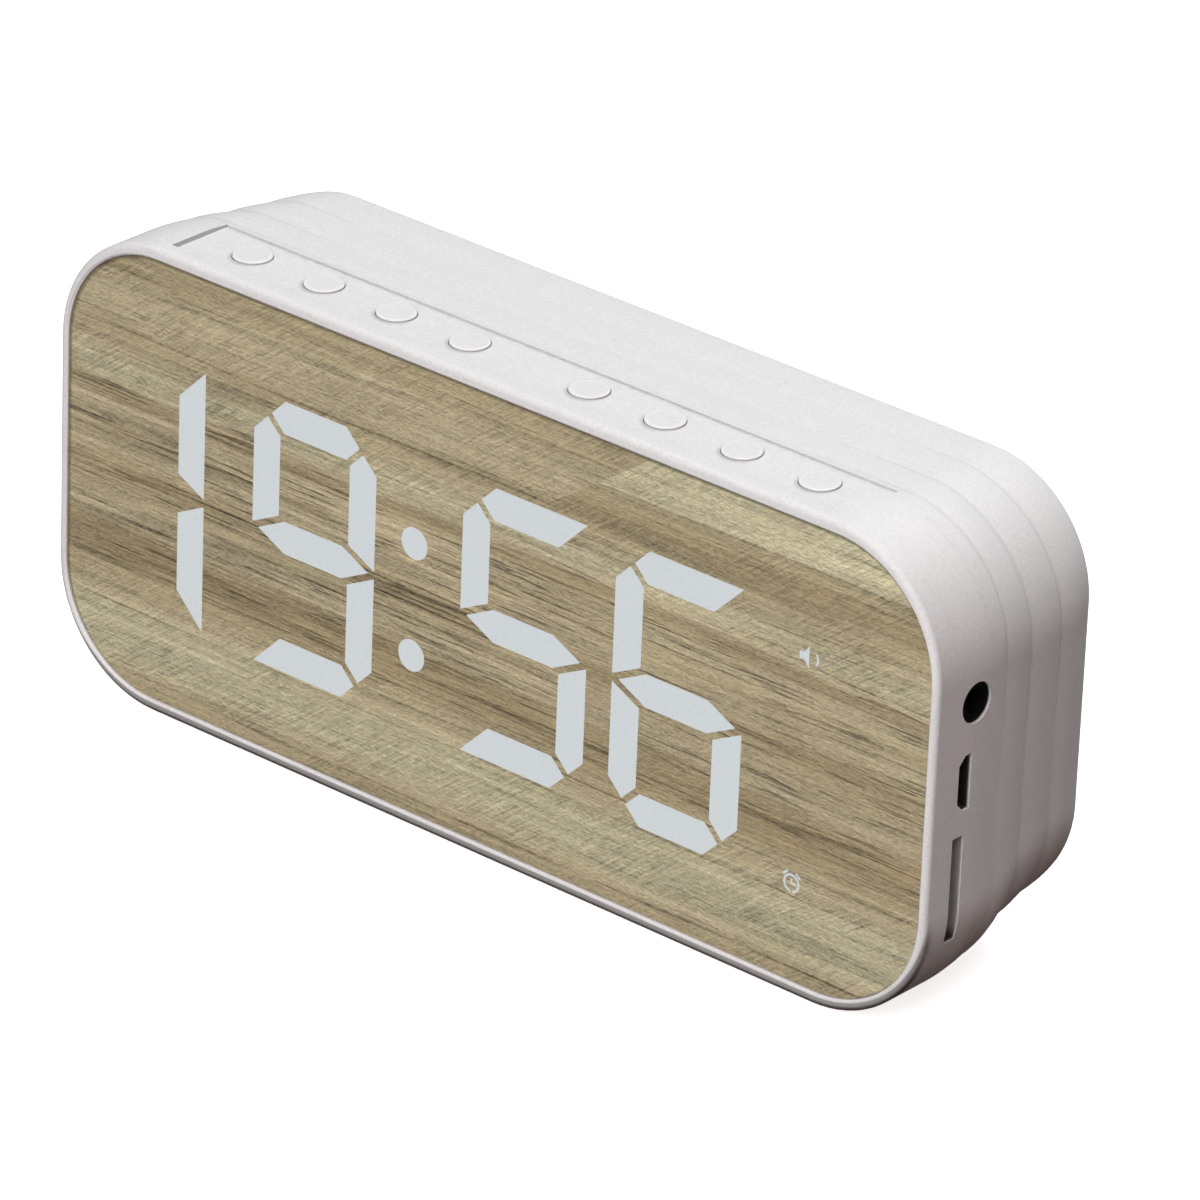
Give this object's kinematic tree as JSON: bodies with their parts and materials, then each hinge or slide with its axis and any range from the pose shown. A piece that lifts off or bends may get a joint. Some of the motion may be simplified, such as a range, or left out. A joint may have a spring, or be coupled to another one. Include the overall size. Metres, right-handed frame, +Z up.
{
  "type": "digital clock",
  "caption": "Upright digital alarm clock: wood-print lit display in a rounded white ribbed case, press keys on top, side sockets, rear speaker grilles.",
  "frame": {"origin": "on the table plane under the middle of the case, half-way between its front lip and its back", "axes": "+X to the right seen from the front, +Y to the back (the display faces -Y), +Z up"},
  "size_m": [0.1528, 0.0368, 0.0693],
  "materials": {
    "white_shell": "fine moulded grain",
    "white_key": "fine moulded grain",
    "black_plastic": "moulded",
    "steel": "satin",
    "magnet": "dark plated",
    "speaker_paper": "pressed paper",
    "wire_cover": "soft insulation",
    "lit_white": "lit translucent",
    "wood_print": "printed pale oak planks",
    "clear_panel": "diffusing sheet",
    "white_inner": "reflector white",
    "circuit_board": "solder mask",
    "rubber": "matt",
    "cell_wrap": "shrink wrap",
    "foam": "closed-cell foam",
    "cloth": "woven dust cloth"
  },
  "bodies": {
    "case": {"alarm_icon": "lit_white", "audio_jack": "black_plastic", "battery": "cell_wrap", "battery_lead": "wire_cover", "battery_tape": "foam", "board_chips": "black_plastic", "board_screws": "steel", "card_socket": "steel", "case_screws": "steel", "colon_dots": "lit_white", "display_panel": "clear_panel", "front_case": "white_shell", "grille_cloths": "cloth", "hour_tens_digit": "lit_white", "hour_units_digit": "lit_white", "lead_sockets": "black_plastic", "left_speaker_basket": "steel", "left_speaker_cone": "speaker_paper", "left_speaker_lead": "wire_cover", "left_speaker_magnet": "magnet", "light_box": "white_inner", "main_board": "circuit_board", "minute_tens_digit": "lit_white", "minute_units_digit": "lit_white", "rear_case": "white_shell", "right_speaker_basket": "steel", "right_speaker_cone": "speaker_paper", "right_speaker_lead": "wire_cover", "right_speaker_magnet": "magnet", "rubber_feet": "rubber", "segment_leds": "lit_white", "sound_icon": "lit_white", "speaker_gaskets": "foam", "speaker_screws": "steel", "tact_switches": "black_plastic", "usb_shell": "steel", "usb_tongue": "black_plastic", "wood_film": "wood_print"},
    "key_1": {"button_1": "white_key", "switch_plunger_1": "black_plastic"},
    "key_2": {"button_2": "white_key", "switch_plunger_2": "black_plastic"},
    "key_3": {"button_3": "white_key", "switch_plunger_3": "black_plastic"},
    "key_4": {"button_4": "white_key", "switch_plunger_4": "black_plastic"},
    "key_5": {"button_5": "white_key", "switch_plunger_5": "black_plastic"},
    "key_6": {"button_6": "white_key", "switch_plunger_6": "black_plastic"},
    "key_7": {"button_7": "white_key", "switch_plunger_7": "black_plastic"},
    "key_8": {"button_8": "white_key", "switch_plunger_8": "black_plastic"}
  },
  "joints": [
    {"name": "key_1_press", "type": "slide", "parent": "case", "child": "key_1", "axis": [0, 0, -1], "range_m": [0, 0.00025], "stiffness_N_per_m": 2000},
    {"name": "key_2_press", "type": "slide", "parent": "case", "child": "key_2", "axis": [0, 0, -1], "range_m": [0, 0.00025], "stiffness_N_per_m": 2000},
    {"name": "key_3_press", "type": "slide", "parent": "case", "child": "key_3", "axis": [0, 0, -1], "range_m": [0, 0.00025], "stiffness_N_per_m": 2000},
    {"name": "key_4_press", "type": "slide", "parent": "case", "child": "key_4", "axis": [0, 0, -1], "range_m": [0, 0.00025], "stiffness_N_per_m": 2000},
    {"name": "key_5_press", "type": "slide", "parent": "case", "child": "key_5", "axis": [0, 0, -1], "range_m": [0, 0.00025], "stiffness_N_per_m": 2000},
    {"name": "key_6_press", "type": "slide", "parent": "case", "child": "key_6", "axis": [0, 0, -1], "range_m": [0, 0.00025], "stiffness_N_per_m": 2000},
    {"name": "key_7_press", "type": "slide", "parent": "case", "child": "key_7", "axis": [0, 0, -1], "range_m": [0, 0.00025], "stiffness_N_per_m": 2000},
    {"name": "key_8_press", "type": "slide", "parent": "case", "child": "key_8", "axis": [0, 0, -1], "range_m": [0, 0.00025], "stiffness_N_per_m": 2000}
  ]
}
